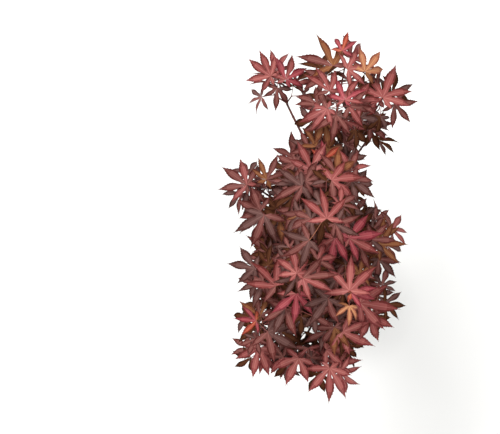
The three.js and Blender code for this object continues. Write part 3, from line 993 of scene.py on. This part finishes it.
def ground_height(x, y, top):
    """The uneven top of the compost: mounded a little round the stem, settled at the wall."""
    reach = math.hypot(x, y)
    mound = MOUND * math.exp(-(reach / MOUND_REACH) ** 2) - SETTLED * (reach / SETTLED_REACH) ** 4
    lumps = sum(size * noise.noise((x * scale, y * scale, layer)) for size, scale, layer in LUMPS)
    return top - 0.001 + mound + lumps


def ball():
    """A coarse closed ball of triangles."""
    g = (1 + math.sqrt(5)) / 2
    points = np.array([(-1, g, 0), (1, g, 0), (-1, -g, 0), (1, -g, 0), (0, -1, g), (0, 1, g),
                       (0, -1, -g), (0, 1, -g), (g, 0, -1), (g, 0, 1), (-g, 0, -1), (-g, 0, 1)])
    faces = np.array([(0, 11, 5), (0, 5, 1), (0, 1, 7), (0, 7, 10), (0, 10, 11), (1, 5, 9), (5, 11, 4),
                      (11, 10, 2), (10, 7, 6), (7, 1, 8), (3, 9, 4), (3, 4, 2), (3, 2, 6), (3, 6, 8),
                      (3, 8, 9), (4, 9, 5), (2, 4, 11), (6, 2, 10), (8, 6, 7), (9, 8, 1)])
    return points / norm(points[0]), faces


CRUMB, CRUMB_FACES = ball()


def crumb(heap, at, size, flat, rng):
    """One angular crumb or chip of bark, sunk a little into the compost."""
    scale = np.array([rng.uniform(0.6, 1.4), rng.uniform(0.5, 0.9), flat]) * size
    x, y, z = (CRUMB * rng.uniform(0.7, 1.15, (len(CRUMB), 1)) * scale).T
    turn, tip = rng.uniform(0, 2 * math.pi), rng.normal(0, 0.35)
    z, x = turned(z, x, tip)
    x, y = turned(x, y, turn)
    heap.add(at + np.stack([x, y, z], axis=1), np.zeros((0, 4), int), CRUMB_FACES, 0, rng.integers(0, 3))


def compost():
    """The compost: a plug that fills the pot, with loose crumbs and chips on its uneven top."""
    (low, _, bottom), (high, _, top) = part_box("compost")
    bottom, radius = bottom + COMPOST_PLAY, (high - low) / 2 - COMPOST_PLAY
    heap = Heap()
    turn = around(RING_SIDES)
    reach = radius * np.linspace(0, 1, RINGS + 1)[1:] ** 0.8
    x, y = turned(reach[:, None], 0, turn)
    z = np.array([[ground_height(a, b, top) for a, b in zip(row, column)] for row, column in zip(x, y)])
    skirt = np.stack([x[-1] * 0.74, y[-1] * 0.74, bottom + 0 * turn], axis=-1)
    verts = np.concatenate([np.stack([x, y, z], axis=-1).reshape(-1, 3), skirt,
                            [[0, 0, ground_height(0, 0, top)], [0, 0, bottom]]])
    quads, tris = ring_faces(RINGS + 1, RING_SIDES)
    heap.add(verts, quads[:, [0, 3, 2, 1]], tris[:, [0, 2, 1]])  # turned over, as these rings go down
    rng = np.random.default_rng([SEED, CRUMB_STREAM])
    for number in range(CRUMBS + CHIPS):
        chip = number >= CRUMBS
        spot, way = radius * 0.97 * math.sqrt(rng.random()), rng.uniform(0, 2 * math.pi)
        x, y = turned(spot, 0, way)
        size = rng.uniform(*(CHIP_SIZE if chip else CRUMB_SIZE)) * MM
        at = np.array([x, y, ground_height(x, y, top) + size * 0.15])
        crumb(heap, at, size, 0.35 if chip else 0.8, rng)
    kinds = [compost_material(), plain("bark_chip", "#4a3122"), plain("peat_crumb", "#24170f")]
    piece = heap.build("potting_compost", kinds)
    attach(piece, ROOT)
    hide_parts("compost")


# ---------- stage, light and camera
FLOOR_HALF = 40.0  # so wide that its edge never shows
WORLD_STRENGTH = 0.96
CAMERA_ELEVATION = 80  # degrees
CAMERA_PLACE = (-0.085, -0.3165, 2.2714)
CAMERA_LENS = 108.3  # millimetres


def stage():
    """The plain pale floor."""
    material, tree, shader = new_material("pale_floor", "#f1f1ef", 0.9, 0.1)
    tone = ramp(tree, [(0.0, "#eeeeec"), (1.0, "#f4f4f2")], noise_factor(tree, 3))
    tree.links.new(tone, shader.inputs["Base Color"])
    mesh = bpy.data.meshes.new("floor")
    corners = [(x * FLOOR_HALF, y * FLOOR_HALF, 0) for x, y in ((-1, -1), (1, -1), (1, 1), (-1, 1))]
    mesh.from_pydata(corners, [], [(0, 1, 2, 3)])
    mesh.materials.append(material)
    floor = placed("floor", mesh)


def lamp(name, place, target, size, power):
    """A soft white lamp that faces a target."""
    light = bpy.data.lights.new(name, "AREA")
    light.size = size
    light.energy = power
    made = placed(name, light)
    made.location = place
    made.rotation_euler = (Vector(target) - Vector(place)).to_track_quat("-Z", "Y").to_euler()


def lights():
    """Even light from all round, a key from above and behind, and a weak fill in front."""
    world = bpy.data.worlds.new("pale_studio")
    world.use_nodes = True
    background = world.node_tree.nodes["Background"]
    background.inputs["Color"].default_value = (1, 1, 1, 1)
    background.inputs["Strength"].default_value = WORLD_STRENGTH
    bpy.context.scene.world = world
    lamp("key", (-1.1, 0.9, 2.6), (0, 0, 0.4), 1.1, 52)
    lamp("fill", (1.3, -1.5, 1.9), (0, 0, 0.35), 1.8, 15)
    bpy.context.scene.view_settings.view_transform = "Standard"


def camera():
    """Looks almost straight down on the crown."""
    data = bpy.data.cameras.new("camera")
    data.lens = CAMERA_LENS
    data.sensor_width = 36
    eye = placed("camera", data)
    eye.location = CAMERA_PLACE
    eye.rotation_euler = (math.radians(90 - CAMERA_ELEVATION), 0, 0)
    bpy.context.scene.camera = eye


# ---------- everything
grow_crown()
wood()
pot()
compost()
stage()
lights()
camera()
